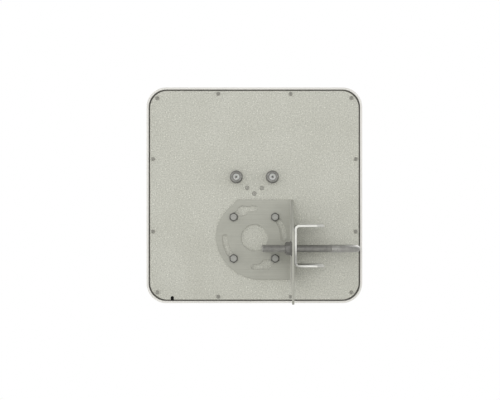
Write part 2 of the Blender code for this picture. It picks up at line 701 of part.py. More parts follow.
def bracket_outline(blade_start, blade_end):
    """The blank's edge: round plate on the left, flat top and bottom, slanting blade on the right."""
    x, z = SWIVEL.x, SWIVEL.z
    tangent_x = x + DISC_TOP - DISC_RADIUS * math.sqrt(2.0)
    heel_rise = DISC_HEEL_RADIUS - DISC_LOW
    side = math.pi - math.asin(heel_rise / DISC_RADIUS)
    heel_x = x + DISC_RADIUS * math.cos(side) + DISC_HEEL_RADIUS
    points = [(tangent_x, z + DISC_TOP)]
    points += arc((x, z), DISC_RADIUS, math.radians(135.0), side, 8)
    points += arc((heel_x, z + heel_rise), DISC_HEEL_RADIUS, math.pi, math.pi * 1.5, 16)[1:]
    points.append((blade_start, z - DISC_LOW))
    low_slope = math.atan2(BLADE_END_LOW_Z - z + DISC_LOW, blade_end - blade_start)
    top_slope = math.atan2(z + DISC_TOP - BLADE_END_TOP_Z, blade_end - blade_start)
    low_centre = corner_centre(blade_end, BLADE_END_LOW_Z, low_slope, 1)
    top_centre = corner_centre(blade_end, BLADE_END_TOP_Z, -top_slope, -1)
    points += arc(low_centre, BLADE_CORNER, low_slope - math.pi / 2, 0.0, 6)
    points += arc(top_centre, BLADE_CORNER, 0.0, math.pi / 2 - top_slope, 6)
    points.append((blade_start, z + DISC_TOP))
    return points


def corner_centre(end, height, slope, side):
    """Centre of the fillet between the blade's end and a sloping edge that would meet it at height."""
    return (end - BLADE_CORNER,
            height + side * BLADE_CORNER / math.cos(slope) - BLADE_CORNER * math.tan(slope))


def make_saddle():
    """The U channel: its blank runs along Y, and across it up one flange, the web and the other."""
    middle_radius = SADDLE_BEND - SADDLE_SHEET / 2
    bend_length = middle_radius * math.pi / 2
    web_half = SADDLE_HEIGHT / 2 - SADDLE_BEND
    web_x = SADDLE_REAR_X + SADDLE_SHEET / 2
    flange_start = web_half + bend_length
    flange_x = SADDLE_REAR_X + SADDLE_BEND

    def fold(y, s):
        side = 1 if s > 0 else -1
        reach = abs(s)
        if reach <= web_half:
            return Vector((web_x, y, SADDLE_MID_Z + s))
        if reach < flange_start:
            turn = (reach - web_half) / middle_radius
            return Vector((web_x + middle_radius * (1 - math.cos(turn)), y,
                           SADDLE_MID_Z + side * (web_half + middle_radius * math.sin(turn))))
        return Vector((flange_x + reach - flange_start, y,
                       SADDLE_MID_Z + side * (web_half + middle_radius)))

    flange = [(y, flange_start + x - flange_x) for y, x in flange_edge()]
    outline = flange + [(-y, -s) for y, s in flange]
    holes = [circle((y, -SADDLE_MID_Z), ROD_HOLE_RADIUS) for y in (-LEG_Y, LEG_Y)]
    slices = bend_slices(web_half, bend_length)
    lines = [((0, side * s, 0), (0, 1, 0)) for side in (-1, 1) for s in slices]
    folded_piece("saddle", outline_mesh([outline] + holes), lines, fold, SADDLE_SHEET, SADDLE_STEEL,
                 CLAMP)


def flange_edge():
    """One flange's free edge as (y, x), from +Y to -Y, with a toothed V notch in the middle."""
    apex_x = HORN_TIP_X - HORN_NOTCH_Y
    half = [(SADDLE_HALF_WIDTH, HORN_SHOULDER_X), (HORN_TIP_Y, HORN_TIP_X), (HORN_NOTCH_Y, HORN_TIP_X)]
    pitch = HORN_NOTCH_Y / TOOTH_COUNT
    inward = TOOTH_DEPTH / math.sqrt(2.0)
    for tooth in range(TOOTH_COUNT):
        crest = HORN_NOTCH_Y - tooth * pitch
        valley = crest - pitch / 2
        if tooth:
            half.append((crest, apex_x + crest))
        half.append((valley + inward, apex_x + valley - inward))
    return half + [(0.0, apex_x)] + [(-y, x) for y, x in reversed(half)]


# ------------------------------------------------------------------ U-bolt and nuts
def make_u_bolt():
    """Round bar: a leg on each side of the pole, and a half turn round it."""
    curve = bpy.data.curves.new("u_bolt", "CURVE")
    curve.dimensions = "3D"
    curve.bevel_depth = ROD_RADIUS
    curve.bevel_resolution = 4
    curve.use_fill_caps = True
    bend = arc((0, 0), LEG_Y, -math.pi / 2, math.pi / 2, 20)
    path = [(LEG_END_X, -LEG_Y)] + bend + [(LEG_END_X, LEG_Y)]
    spline = curve.splines.new("POLY")
    spline.points.add(len(path) - 1)
    for point, (x, y) in zip(spline.points, path):
        point.co = (x, y, 0.0, 1.0)
    obj = bpy.data.objects.new("u_bolt_bar", curve)
    GUIDES.objects.link(obj)
    add_piece("u_bolt", mesh_from_object(obj), ZINC, U_BOLT)


def make_flange_nut(name, y, pivot):
    """A hexagon nut on a conical flange; its flange faces the blade."""
    corner = NUT_FLATS / math.sqrt(3.0)
    bevel = 0.0010
    chamfer = turned_mesh([(0.0, NUT_HEIGHT), (NUT_FLATS * 0.47, NUT_HEIGHT),
                           (corner + 0.0002, NUT_HEIGHT - bevel), (corner + 0.0002, -0.001),
                           (0.0, -0.001)])
    flange = turned_mesh([(0.0, NUT_CONE_HEIGHT), (NUT_FLATS * 0.47, NUT_CONE_HEIGHT),
                          (NUT_FLANGE_RADIUS, NUT_FLANGE_EDGE), (NUT_FLANGE_RADIUS, 0.0),
                          (0.0, 0.0)])
    nut = with_tools(hexagon_mesh(NUT_FLATS, NUT_FLANGE_EDGE, NUT_HEIGHT + 0.001),
                     ("INTERSECT", chamfer), ("UNION", flange),
                     ("DIFFERENCE", cylinder_mesh(NUT_BORE, -0.01, NUT_HEIGHT + 0.01)))
    add_piece(name, nut, ZINC, pivot, (BLADE_REAR_X - GAP, y, 0.0), LEFTWARD)


# ------------------------------------------------------------------ assembly
empty_scene()
PARTS = new_collection("outdoor_bridge_antenna")
GUIDES = new_collection("guides")

RADOME_PLASTIC = make_material("radome_plastic", (0.80, 0.79, 0.76), 0.45)
RUBBER = make_material("gasket_rubber", (0.03, 0.03, 0.03), 0.85)
PLATE_METAL = make_material("plate_metal", (0.52, 0.52, 0.47), 0.50, 0.6)
BRACKET_STEEL = make_material("bracket_steel", (0.38, 0.38, 0.34), 0.42, 0.9)
SADDLE_STEEL = make_material("saddle_steel", (0.55, 0.55, 0.52), 0.38, 0.9)
ZINC = make_material("galvanised_steel", (0.28, 0.28, 0.28), 0.35, 0.9)
BOLT_STEEL = make_material("bolt_steel", (0.32, 0.32, 0.31), 0.35, 0.9)
SCREW_STEEL = make_material("screw_steel", (0.30, 0.30, 0.30), 0.40, 0.9)
NICKEL = make_material("nickel", (0.50, 0.49, 0.45), 0.28, 1.0)
PTFE = make_material("ptfe", (0.85, 0.85, 0.83), 0.40)
CONTACT_PLATING = make_material("contact_plating", (0.72, 0.72, 0.69), 0.25, 1.0)
BOARD_GREEN = make_material("circuit_board", (0.05, 0.18, 0.08), 0.50)
COPPER = make_material("patch_board", (0.70, 0.35, 0.20), 0.30, 1.0)
NYLON = make_material("nylon", (0.70, 0.69, 0.64), 0.50)
FOAM = make_material("foam", (0.78, 0.78, 0.76), 0.90)

CLAMP = make_pivot("clamp_frame", Vector((0, 0, 0)))
TILTING = make_pivot("tilt_axis", TILT, CLAMP)
ANTENNA = make_pivot("polarisation_axis", SWIVEL, TILTING)
U_BOLT = make_pivot("u_bolt_slide", Vector((0, 0, 0)), CLAMP)
NEAR_NUT = make_pivot("near_nut_axis", Vector((BLADE_REAR_X - GAP, -LEG_Y, 0.0)), CLAMP)
FAR_NUT = make_pivot("far_nut_axis", Vector((BLADE_REAR_X - GAP, LEG_Y, 0.0)), CLAMP)

make_radome()
make_gasket()
make_back_plate()
make_cover_screws()
make_board_screws()
make_boards()
make_bolts()
for jack_side, jack_place in JACKS.items():
    make_jack(jack_side, jack_place)
make_bracket()
make_saddle()
make_u_bolt()
make_flange_nut("flange_nut_near", -LEG_Y, NEAR_NUT)
make_flange_nut("flange_nut_far", LEG_Y, FAR_NUT)
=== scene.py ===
"""Looks of an outdoor bridge's panel antenna and its pole clamp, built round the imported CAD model.

Units are metres. The frame is the CAD model's: +Z is up, +Y is the way the antenna faces, +X is to
the right seen from behind, and the origin is on the axis of the pole that the clamp holds.
"""
import json
import math

import bmesh
import bpy
from mathutils import Matrix, Vector

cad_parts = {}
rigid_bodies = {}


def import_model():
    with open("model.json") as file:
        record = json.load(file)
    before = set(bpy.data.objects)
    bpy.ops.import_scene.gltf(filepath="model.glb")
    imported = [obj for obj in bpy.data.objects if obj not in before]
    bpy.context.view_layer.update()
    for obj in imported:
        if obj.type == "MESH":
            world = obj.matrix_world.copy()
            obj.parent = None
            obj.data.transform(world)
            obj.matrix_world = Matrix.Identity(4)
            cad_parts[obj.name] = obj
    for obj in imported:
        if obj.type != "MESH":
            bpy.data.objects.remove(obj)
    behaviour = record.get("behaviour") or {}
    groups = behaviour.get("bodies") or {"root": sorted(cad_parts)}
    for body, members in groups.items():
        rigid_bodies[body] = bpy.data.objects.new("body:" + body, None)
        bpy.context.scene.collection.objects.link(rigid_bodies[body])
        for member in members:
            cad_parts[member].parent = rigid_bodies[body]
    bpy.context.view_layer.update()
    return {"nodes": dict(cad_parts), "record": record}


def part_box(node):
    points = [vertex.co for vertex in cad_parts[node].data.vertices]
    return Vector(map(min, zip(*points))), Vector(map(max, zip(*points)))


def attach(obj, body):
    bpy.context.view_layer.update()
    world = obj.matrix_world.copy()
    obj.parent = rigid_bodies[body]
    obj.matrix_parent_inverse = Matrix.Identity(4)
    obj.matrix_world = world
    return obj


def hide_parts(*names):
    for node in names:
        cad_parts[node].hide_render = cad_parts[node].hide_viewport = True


for leftover in list(bpy.data.objects):
    bpy.data.objects.remove(leftover)

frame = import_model()

WELD = 0.000001
# turns that point a piece's own +Z out of the back plate, along -X, and along +X
BACKWARD = Matrix.Rotation(math.radians(90.0), 4, "X")
LEFTWARD = Matrix.Rotation(math.radians(-90.0), 4, "Y")
RIGHTWARD = Matrix.Rotation(math.radians(90.0), 4, "Y")


# ------------------------------------------------------------------ places, from the CAD nodes
def middle(node):
    low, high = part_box(node)
    return (low + high) / 2


PANEL_LOW, PANEL_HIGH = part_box("radome")
PANEL = (PANEL_LOW + PANEL_HIGH) / 2
BACK_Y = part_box("back_plate")[0].y          # the back plate's rear face
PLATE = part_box("back_plate")[1].y - BACK_Y  # its thickness
DRAIN_X = -0.1162                           # the drain notch, from the panel's middle


def on_plate(node):
    """Where a fastener's axis meets the back plate's rear face."""
    centre = middle(node)
    return Vector((centre.x, BACK_Y, centre.z))


# ------------------------------------------------------------------ outlines, as lists of (x, y)
def arc(centre, radius, start, end, steps):
    return [(centre[0] + radius * math.cos(start + (end - start) * i / steps),
             centre[1] + radius * math.sin(start + (end - start) * i / steps))
            for i in range(steps + 1)]


def circle(centre, radius, steps=64):
    return arc(centre, radius, 0.0, 2 * math.pi, steps)[:-1]


def rounded_square(half, radius):
    points = []
    inset = half - radius
    for quarter, (sx, sy) in enumerate(((1, 1), (-1, 1), (-1, -1), (1, -1))):
        start = quarter * math.pi / 2
        points += arc((sx * inset, sy * inset), radius, start, start + math.pi / 2, 20)
    return points


def polar(centre, radius, angle):
    return (centre[0] + radius * math.cos(angle), centre[1] + radius * math.sin(angle))


def arc_slot(centre, radius, width, start, end, keyhole=None):
    """A curved slot with round ends; keyhole is (angle, radius) of a round opening in it."""
    half = width / 2
    outer = arc(centre, radius + half, start, end, 36)
    inner = arc(centre, radius - half, end, start, 36)
    if keyhole:
        outer = widened(centre, radius, radius + half, start, end, keyhole, 1)
        inner = widened(centre, radius, radius - half, start, end, keyhole, -1)[::-1]
    far_cap = arc(polar(centre, radius, end), half, end, end + math.pi, 16)[1:-1]
    near_cap = arc(polar(centre, radius, start), half,
                   start + math.pi, start + 2 * math.pi, 16)[1:-1]
    return outer + far_cap + inner + near_cap


def widened(centre, radius, edge, start, end, keyhole, side):
    """One edge of a curved slot, with a round opening's arc let into it."""
    turn, hole = keyhole
    spread = math.acos((radius ** 2 + edge ** 2 - hole ** 2) / (2 * radius * edge))
    centre_of_hole = polar(centre, radius, turn)
    first = polar(centre, edge, turn - spread)
    facing = turn if side > 0 else turn + math.pi
    begin = math.atan2(first[1] - centre_of_hole[1], first[0] - centre_of_hole[0])
    opening = (begin - facing + math.pi) % (2 * math.pi) - math.pi
    return (arc(centre, edge, start, turn - spread, 14)
            + arc(centre_of_hole, hole, facing + opening, facing - opening, 24)[1:-1]
            + arc(centre, edge, turn + spread, end, 14))


# ------------------------------------------------------------------ meshes
def finished(bm, name):
    bmesh.ops.remove_doubles(bm, verts=bm.verts, dist=WELD)
    bmesh.ops.recalc_face_normals(bm, faces=bm.faces)
    mesh = bpy.data.meshes.new(name)
    bm.to_mesh(mesh)
    bm.free()
    return mesh


def from_object(obj):
    """The evaluated mesh of a curve or a modified object; the object is removed."""
    bpy.context.view_layer.update()
    depsgraph = bpy.context.evaluated_depsgraph_get()
    mesh = bpy.data.meshes.new_from_object(obj.evaluated_get(depsgraph))
    bpy.data.objects.remove(obj)
    bm = bmesh.new()
    bm.from_mesh(mesh)
    return finished(bm, "evaluated")


def skin(rings):
    """Join closed rings of equally many points with quads, and cap both ends."""
    bm = bmesh.new()
    rows = [[bm.verts.new(point) for point in ring] for ring in rings]
    for near, far in zip(rows, rows[1:]):
        for i in range(len(near)):
            bm.faces.new((near[i - 1], near[i], far[i], far[i - 1]))
    bm.faces.new(rows[0])
    bm.faces.new(rows[-1])
    return finished(bm, "skin")


def turned(profile, steps=64, closed=False):
    """Turn a profile of (radius, height) about Z."""
    bm = bmesh.new()
    rings = []
    for radius, height in profile:
        if radius < WELD:
            rings.append([bm.verts.new((0, 0, height))] * steps)
        else:
            rings.append([bm.verts.new((x, y, height)) for x, y in circle((0, 0), radius, steps)])
    for near, far in zip(rings, rings[1:] + rings[:1] if closed else rings[1:]):
        for i in range(steps):
            corners = list(dict.fromkeys((near[i - 1], near[i], far[i], far[i - 1])))
            if len(corners) > 2:
                bm.faces.new(corners)
    return finished(bm, "turned")


def threaded(major, minor, pitch, low, high, steps=32):
    """A right-hand screw thread about Z; the rows of its grid follow the helix."""
    shape = ((0.0, minor), (0.25, minor), (0.56, major), (0.69, major))
    turns = math.ceil((high - low) / pitch) + 1
    bm = bmesh.new()
    rows = []
    for row in range(-len(shape), turns * len(shape)):
        turn, part = divmod(row, len(shape))
        phase, radius = shape[part]
        ring = []
        for i in range(steps):
            z = low + pitch * (turn + phase + i / steps)
            here = radius if low < z < high else minor
            x, y = polar((0, 0), here, 2 * math.pi * i / steps)
            ring.append(bm.verts.new((x, y, min(max(z, low), high))))
        rows.append(ring)
    turn_on = rows[len(shape):]
    for near, far, near_next, far_next in zip(rows, rows[1:], turn_on, turn_on[1:]):
        for i in range(steps - 1):
            bm.faces.new((near[i], near[i + 1], far[i + 1], far[i]))
        bm.faces.new((near[-1], near_next[0], far_next[0], far[-1]))
    bmesh.ops.remove_doubles(bm, verts=bm.verts, dist=WELD)
    bmesh.ops.dissolve_degenerate(bm, dist=WELD, edges=bm.edges)
    return finished(bm, "thread")


def hexagon(flats, low, high, turn=0.0):
    radius = flats / math.sqrt(3.0)
    corners = [polar((0, 0), radius, turn + math.radians(60.0 * i)) for i in range(6)]
    return skin([[(x, y, z) for x, y in corners] for z in (low, high)])


def sheet(loops, thickness, edge=0.0002):
    """A flat plate with holes and chamfered edges, in and on both sides of the XY plane."""
    curve = bpy.data.curves.new("sheet", "CURVE")
    curve.dimensions = "2D"
    curve.fill_mode = "BOTH"
    curve.extrude = thickness / 2 - edge
    curve.bevel_depth = edge
    curve.bevel_resolution = 0
    curve.offset = -edge
    for loop in loops:
        spline = curve.splines.new("POLY")
        spline.points.add(len(loop) - 1)
        for point, (x, y) in zip(spline.points, loop):
            point.co = (x, y, 0.0, 1.0)
        spline.use_cyclic_u = True
    obj = bpy.data.objects.new("sheet", curve)
    bpy.context.scene.collection.objects.link(obj)
    return from_object(obj)


def shaped(mesh, *steps):
    """Join, cut or keep a mesh with Boolean tools; each step is an operation and a tool's mesh."""
    body = bpy.data.objects.new("body", mesh)
    bpy.context.scene.collection.objects.link(body)
    tools = []
    for operation, tool_mesh in steps:
        tool = bpy.data.objects.new("tool", tool_mesh)
        bpy.context.scene.collection.objects.link(tool)
        tools.append(tool)
        boolean = body.modifiers.new(operation, "BOOLEAN")
        boolean.operation = operation
        boolean.solver = "EXACT"
        boolean.object = tool
    result = from_object(body)
    for tool in tools:
        bpy.data.objects.remove(tool)
    return result


def together(*parts):
    """Several meshes as one; each part is a mesh, or a mesh and its place."""
    bm = bmesh.new()
    for part in parts:
        mesh, place = part if isinstance(part, tuple) else (part, Matrix())
        copy = mesh.copy()
        copy.transform(place)
        bm.from_mesh(copy)
        bpy.data.meshes.remove(copy)
    mesh = bpy.data.meshes.new("together")
    bm.to_mesh(mesh)
    bm.free()
    return mesh


def block(size, centre=(0, 0, 0), turn=0.0):
    """A cutter: a block turned about Z."""
    bm = bmesh.new()
    matrix = (Matrix.Rotation(turn, 4, "Z") @ Matrix.Translation(centre)
              @ Matrix.Diagonal((*size, 1.0)))
    bmesh.ops.create_cube(bm, size=1.0, matrix=matrix)
    return finished(bm, "block")


def cross(span, width, low, high):
    """The cutter of a cross recess."""
    height, centre = high - low, (0, 0, (low + high) / 2)
    return [("DIFFERENCE", block((span, width, height), centre, turn))
            for turn in (0.4, 0.4 + math.pi / 2)]


def bent(mesh, cuts, fold):
    """Slice a flat sheet along its bends and move its points where the fold takes them."""
    bm = bmesh.new()
    bm.from_mesh(mesh)
    for where, normal in cuts:
        bmesh.ops.bisect_plane(bm, geom=bm.verts[:] + bm.edges[:] + bm.faces[:],
                               plane_co=where, plane_no=normal, dist=WELD)
    for vertex in bm.verts:
        vertex.co = fold(*vertex.co)
    return finished(bm, "bent")


# ------------------------------------------------------------------ node materials
def srgb(*channels):
    """A linear colour from 0 to 255 display values."""
    return tuple(((c / 255 + 0.055) / 1.055) ** 2.4 if c > 10 else c / 255 / 12.92
                 for c in channels) + (1.0,)


class Finish:
    """A Principled material whose textures are laid out in the piece's own metres."""

    def __init__(self, name, metallic=0.0, **inputs):
        self.material = bpy.data.materials.new(name)
        self.material.use_nodes = True
        self.tree = self.material.node_tree
        self.shader = self.tree.nodes["Principled BSDF"]
        self.shader.inputs["Metallic"].default_value = metallic
        for label, value in inputs.items():
            self.shader.inputs[label.replace("_", " ")].default_value = value
        coordinates = self.add("ShaderNodeTexCoord")
        self.space = coordinates.outputs["Object"]
        self.own_normal = coordinates.outputs["Normal"]
        self.last_bump = None

    def add(self, kind, **inputs):
        made = self.tree.nodes.new(kind)
        for label, value in inputs.items():
            self.feed(made.inputs[label.replace("_", " ")], value)
        return made

    def feed(self, socket, value):
        if isinstance(value, bpy.types.NodeSocket):
            self.tree.links.new(value, socket)
        else:
            socket.default_value = value

    def stretched(self, x, y, z):
        return self.add("ShaderNodeMapping", Vector=self.space, Scale=(x, y, z)).outputs["Vector"]

    def noise(self, scale, detail=3.0, rough=0.5, space=None):
        made = self.add("ShaderNodeTexNoise", Vector=space or self.space, Scale=scale,
                        Detail=detail)
        made.inputs["Roughness"].default_value = rough
        return made.outputs["Fac"]

    def cells(self, scale, output="Distance"):
        return self.add("ShaderNodeTexVoronoi", Vector=self.space, Scale=scale).outputs[output]

    def span(self, fac, low, high, to_low=0.0, to_high=1.0):
        """A value rescaled, and held at the ends of its range."""
        made = self.add("ShaderNodeMapRange", Value=fac)
        for label, value in (("From Min", low), ("From Max", high),
                             ("To Min", to_low), ("To Max", to_high)):
            made.inputs[label].default_value = value
        return made.outputs["Result"]

    def maths(self, operation, *values):
        made = self.tree.nodes.new("ShaderNodeMath")
        made.operation = operation
        for socket, value in zip(made.inputs, values):
            self.feed(socket, value)
        return made.outputs[0]

    def mix(self, fac, first, second, blend="MIX"):
        made = self.tree.nodes.new("ShaderNodeMix")
        made.data_type = "RGBA"
        made.blend_type = blend
        self.feed(made.inputs["Factor"], fac)
        self.feed(made.inputs[6], first)
        self.feed(made.inputs[7], second)
        return made.outputs[2]

    def colour(self, value):
        self.feed(self.shader.inputs["Base Color"], value)

    def roughness(self, value):
        self.feed(self.shader.inputs["Roughness"], value)

    def bump(self, height, distance, strength=1.0):
        made = self.add("ShaderNodeBump", Height=height, Distance=distance, Strength=strength)
        if self.last_bump:
            self.tree.links.new(self.last_bump, made.inputs["Normal"])
        self.last_bump = made.outputs["Normal"]
        self.feed(self.shader.inputs["Normal"], self.last_bump)


def moulded_plastic():
    """White weatherproof moulding: fine spark-eroded grain, faint chalking and rain marks."""
    f = Finish("radome_plastic", Specular_IOR_Level=0.45)
    chalk = f.span(f.noise(9.0, 5.0), 0.35, 0.7)
    streaks = f.span(f.noise(1.0, 4.0, space=f.stretched(70, 70, 5)), 0.45, 0.8)
    base = f.mix(chalk, srgb(234, 232, 226), srgb(230, 228, 222))
    base = f.mix(f.span(streaks, 0.0, 1.0, 0.0, 0.14), base, srgb(216, 214, 206))
    f.colour(base)
    f.roughness(f.span(f.noise(60.0), 0.3, 0.7, 0.36, 0.5))
    f.bump(f.noise(1500.0, 2.0), 0.00006, 0.5)
    f.bump(f.noise(14.0, 2.0), 0.0004, 0.15)
    return f.material


def sparkling_plate():
    """Chromated aluminium sheet: a fine crystalline sparkle, painted into the colour as near-white
    glints, over cloudy, faintly streaked metal.
    """
    f = Finish("plate_metal", metallic=0.35)
    clouds = f.span(f.noise(16.0, 4.0), 0.3, 0.72)
    grain = f.span(f.noise(560.0, 3.0, 0.65), 0.3, 0.7)
    base = f.mix(clouds, srgb(188, 188, 177), srgb(197, 197, 187))
    base = f.mix(f.span(grain, 0.0, 0.6), srgb(168, 168, 158), base)
    base = f.mix(f.span(grain, 0.35, 1.0, 0.0, 0.4), base, srgb(206, 206, 196))
    # painted glints: near-white specks mixed into the colour stand in for the sparkle's highlights
    painted_glints = f.span(f.noise(760.0, 1.0), 0.62, 0.72)
    base = f.mix(f.span(painted_glints, 0.0, 1.0, 0.0, 0.9), base, srgb(242, 242, 232))
    stains = f.span(f.noise(5.0, 6.0, 0.6), 0.56, 0.75, 0.0, 0.22)
    f.colour(f.mix(stains, base, srgb(172, 170, 158)))
    f.roughness(f.span(grain, 0.0, 1.0, 0.6, 0.44))
    f.bump(f.noise(700.0, 3.0), 0.00005, 0.5)
    return f.material


def brushed_steel():
    """Rolled and brushed bracket steel, its scratches running across; faces turned left or up are
    painted lighter, as painted light.
    """
    f = Finish("bracket_steel", metallic=0.3)
    lines = f.noise(1.0, 4.0, 0.6, f.stretched(14, 14, 1100))
    broad = f.noise(1.0, 2.0, 0.5, f.stretched(5, 5, 190))
    base = f.mix(f.span(lines, 0.3, 0.7), srgb(154, 154, 144), srgb(174, 174, 164))
    base = f.mix(f.span(broad, 0.35, 0.65, 0.0, 0.3), base, srgb(158, 158, 148))
    blotches = f.span(f.noise(45.0, 4.0), 0.52, 0.72, 0.0, 0.22)
    base = f.mix(blotches, base, srgb(144, 144, 134))
    rubs = f.span(f.noise(1.0, 3.0, 0.6, f.stretched(30, 30, 600)), 0.7, 0.78, 0.0, 0.5)
    base = f.mix(rubs, base, srgb(190, 190, 182))
    # painted light: faces turned to the left (-X) or upwards are mixed towards a lighter tone
    facing = f.add("ShaderNodeSeparateXYZ", Vector=f.own_normal).outputs
    painted_light_faces = f.maths("MAXIMUM", f.span(facing["X"], -0.15, -0.6), f.span(facing["Z"], 0.2, 0.6))
    f.colour(f.mix(f.maths("MULTIPLY", painted_light_faces, 0.85), base, srgb(192, 192, 184)))
    f.roughness(f.span(lines, 0.3, 0.7, 0.36, 0.5))
    f.bump(lines, 0.00004, 0.5)
    return f.material


def bright_zinc():
    """Bright zinc plating on the pressed saddle, with soft spangle and handling marks; the flanges'
    inner faces and the web's lower part are painted darker, as painted shade.
    """
    f = Finish("saddle_steel", metallic=0.4)
    spangle = f.cells(170.0, "Color")
    cloud = f.span(f.noise(40.0, 4.0), 0.3, 0.7)
    base = f.mix(cloud, srgb(206, 206, 199), srgb(220, 220, 214))
    base = f.mix(f.span(spangle, 0.2, 0.9, 0.0, 0.22), base, srgb(190, 191, 188))
    place = f.add("ShaderNodeSeparateXYZ", Vector=f.space).outputs
    facing = f.add("ShaderNodeSeparateXYZ", Vector=f.own_normal).outputs["Z"]
    # painted shade: faces turned in towards the channel between the flanges are darkened
    inward = f.maths("MULTIPLY", facing, place["Z"])
    base = f.mix(f.span(inward, -0.003, -0.014, 0.0, 0.45), base, srgb(108, 108, 105))
    # painted shadow: the web's rear part below the middle is darkened, fading out along the flanges
    painted_web_shadow = f.mix(f.span(place["X"], -0.053, -0.036), srgb(156, 156, 151), base)
    base = f.mix(f.span(place["Z"], 0.004, -0.010), base, painted_web_shadow)
    marks = f.span(f.noise(1.0, 4.0, 0.6, f.stretched(600, 40, 600)), 0.62, 0.72, 0.0, 0.3)
    f.colour(f.mix(marks, base, srgb(170, 170, 166)))
    f.roughness(f.span(cloud, 0.0, 1.0, 0.34, 0.46))
    f.bump(f.noise(500.0, 3.0), 0.00004, 0.4)
    return f.material


def galvanised(name, dark, light, metallic):
    """Dull hot-dip zinc on the U-bolt and its nuts: grey, mottled and slightly pitted."""
    f = Finish(name, metallic=metallic)
    mottle = f.span(f.noise(110.0, 5.0, 0.6), 0.3, 0.7)
    spangle = f.span(f.cells(260.0, "Color"), 0.1, 0.9)
    base = f.mix(mottle, dark, light)
    base = f.mix(f.span(spangle, 0.0, 1.0, 0.0, 0.3), base, f.mix(0.6, dark, light))
    dirt = f.span(f.noise(330.0, 4.0), 0.58, 0.72, 0.0, 0.4)
    f.colour(f.mix(dirt, base, srgb(100, 99, 96)))
    f.roughness(f.span(mottle, 0.0, 1.0, 0.58, 0.42))
    f.bump(f.noise(900.0, 3.0), 0.00005, 0.5)
    return f.material


def plated_fastener(name, light, dark, low, high, side=1.0, grain=600.0):
    """Plated steel of bolts and screws: mottled, with sides painted darker than the outward face by
    the factor side, as painted shade.
    """
    f = Finish(name, metallic=0.4)
    patches = f.span(f.noise(grain, 4.0, 0.6), 0.32, 0.68)
    base = f.mix(patches, dark, light)
    smears = f.span(f.noise(180.0, 3.0), 0.5, 0.75, 0.0, 0.35)
    base = f.mix(smears, base, dark)
    # painted shade: faces not turned outward along the piece's axis are multiplied by side
    outward = f.add("ShaderNodeSeparateXYZ", Vector=f.own_normal).outputs["Z"]
    painted_side_shade = f.mix(1.0, base, (side, side, side, 1.0), "MULTIPLY")
    f.colour(f.mix(f.span(outward, 0.93, 0.99), painted_side_shade, base))
    f.roughness(f.span(patches, 0.0, 1.0, high, low))
    f.bump(f.noise(grain * 2.5, 2.0), 0.00003, 0.4)
    return f.material


def plated_brass():
    """Dull nickel on the jacks' brass bodies, with faint turning marks; faces turned away from the
    jack's axis are painted lighter, as painted light.
    """
    f = Finish("nickel", metallic=0.6)
    turning = f.noise(1.0, 2.0, 0.5, f.stretched(60, 4200, 60))
    tarnish = f.span(f.noise(240.0, 4.0), 0.35, 0.7)
    base = f.mix(tarnish, srgb(124, 124, 120), srgb(102, 101, 97))
    base = f.mix(f.span(turning, 0.3, 0.7, 0.0, 0.3), base, srgb(152, 151, 146))
    # painted light: faces turned sideways from the jack's axis are mixed towards a lighter tone
    outward = f.add("ShaderNodeSeparateXYZ", Vector=f.own_normal).outputs["Z"]
    f.colour(f.mix(f.span(outward, 0.3, 0.8), f.mix(0.55, base, srgb(205, 204, 198)), base))
    f.roughness(f.span(tarnish, 0.0, 1.0, 0.36, 0.5))
    f.bump(turning, 0.00002, 0.4)
    return f.material


def rubber():
    """Black sealing rubber: dusty where it shows, and painted near-black behind the drain notch, as
    painted shade of the opening.
    """
    f = Finish("gasket_rubber", Specular_IOR_Level=0.3)
    dust = f.span(f.noise(300.0, 4.0), 0.45, 0.75)
    dusty = f.mix(dust, srgb(94, 92, 88), srgb(126, 123, 117))
    place = f.add("ShaderNodeSeparateXYZ", Vector=f.space).outputs
    # painted shade: a near-black patch low down behind the drain notch
    aside = f.maths("ABSOLUTE", f.maths("SUBTRACT", place["X"], PANEL.x + DRAIN_X))
    lower = f.span(place["Z"], -0.060, -0.064)
    painted_notch_shade = f.maths("MULTIPLY", lower, f.span(aside, 0.0028, 0.0022))
    f.colour(f.mix(painted_notch_shade, dusty, srgb(16, 16, 15)))
    f.roughness(f.span(dust, 0.0, 1.0, 0.72, 0.92))
    f.bump(f.noise(1400.0, 3.0), 0.00008, 0.6)
    return f.material


def insulator_plastic(name, light, dark, grain=500.0, sheen=0.35):
    """Turned or moulded plastic of the jacks' insulators and the spacers."""
    f = Finish(name, Specular_IOR_Level=sheen, Subsurface_Weight=0.05)
    clouds = f.span(f.noise(grain, 3.0), 0.3, 0.7)
    f.colour(f.mix(clouds, light, dark))
    f.roughness(f.span(clouds, 0.0, 1.0, 0.36, 0.5))
    f.bump(f.noise(grain * 4, 2.0), 0.00003, 0.4)
    return f.material


def contact_plating():
    """Silver plate on the centre contacts, painted near-black inside the contact's bore, as painted
    shade.
    """
    f = Finish("contact_plating", metallic=0.6)
    wear = f.span(f.noise(900.0, 3.0), 0.4, 0.7)
    base = f.mix(wear, srgb(206, 205, 200), srgb(184, 183, 177))
    # painted shade: points within the bore's radius of the axis are coloured near-black
    painted_bore_shade_from_axis = f.add("ShaderNodeVectorMath")
    painted_bore_shade_from_axis.operation = "LENGTH"
    f.feed(painted_bore_shade_from_axis.inputs[0], f.stretched(1, 1, 0))
    f.colour(f.mix(f.span(painted_bore_shade_from_axis.outputs["Value"], 0.00105, 0.0009), base, srgb(24, 24, 22)))
    f.roughness(f.span(wear, 0.0, 1.0, 0.24, 0.4))
    f.bump(f.noise(2500.0, 2.0), 0.00002, 0.3)
    return f.material


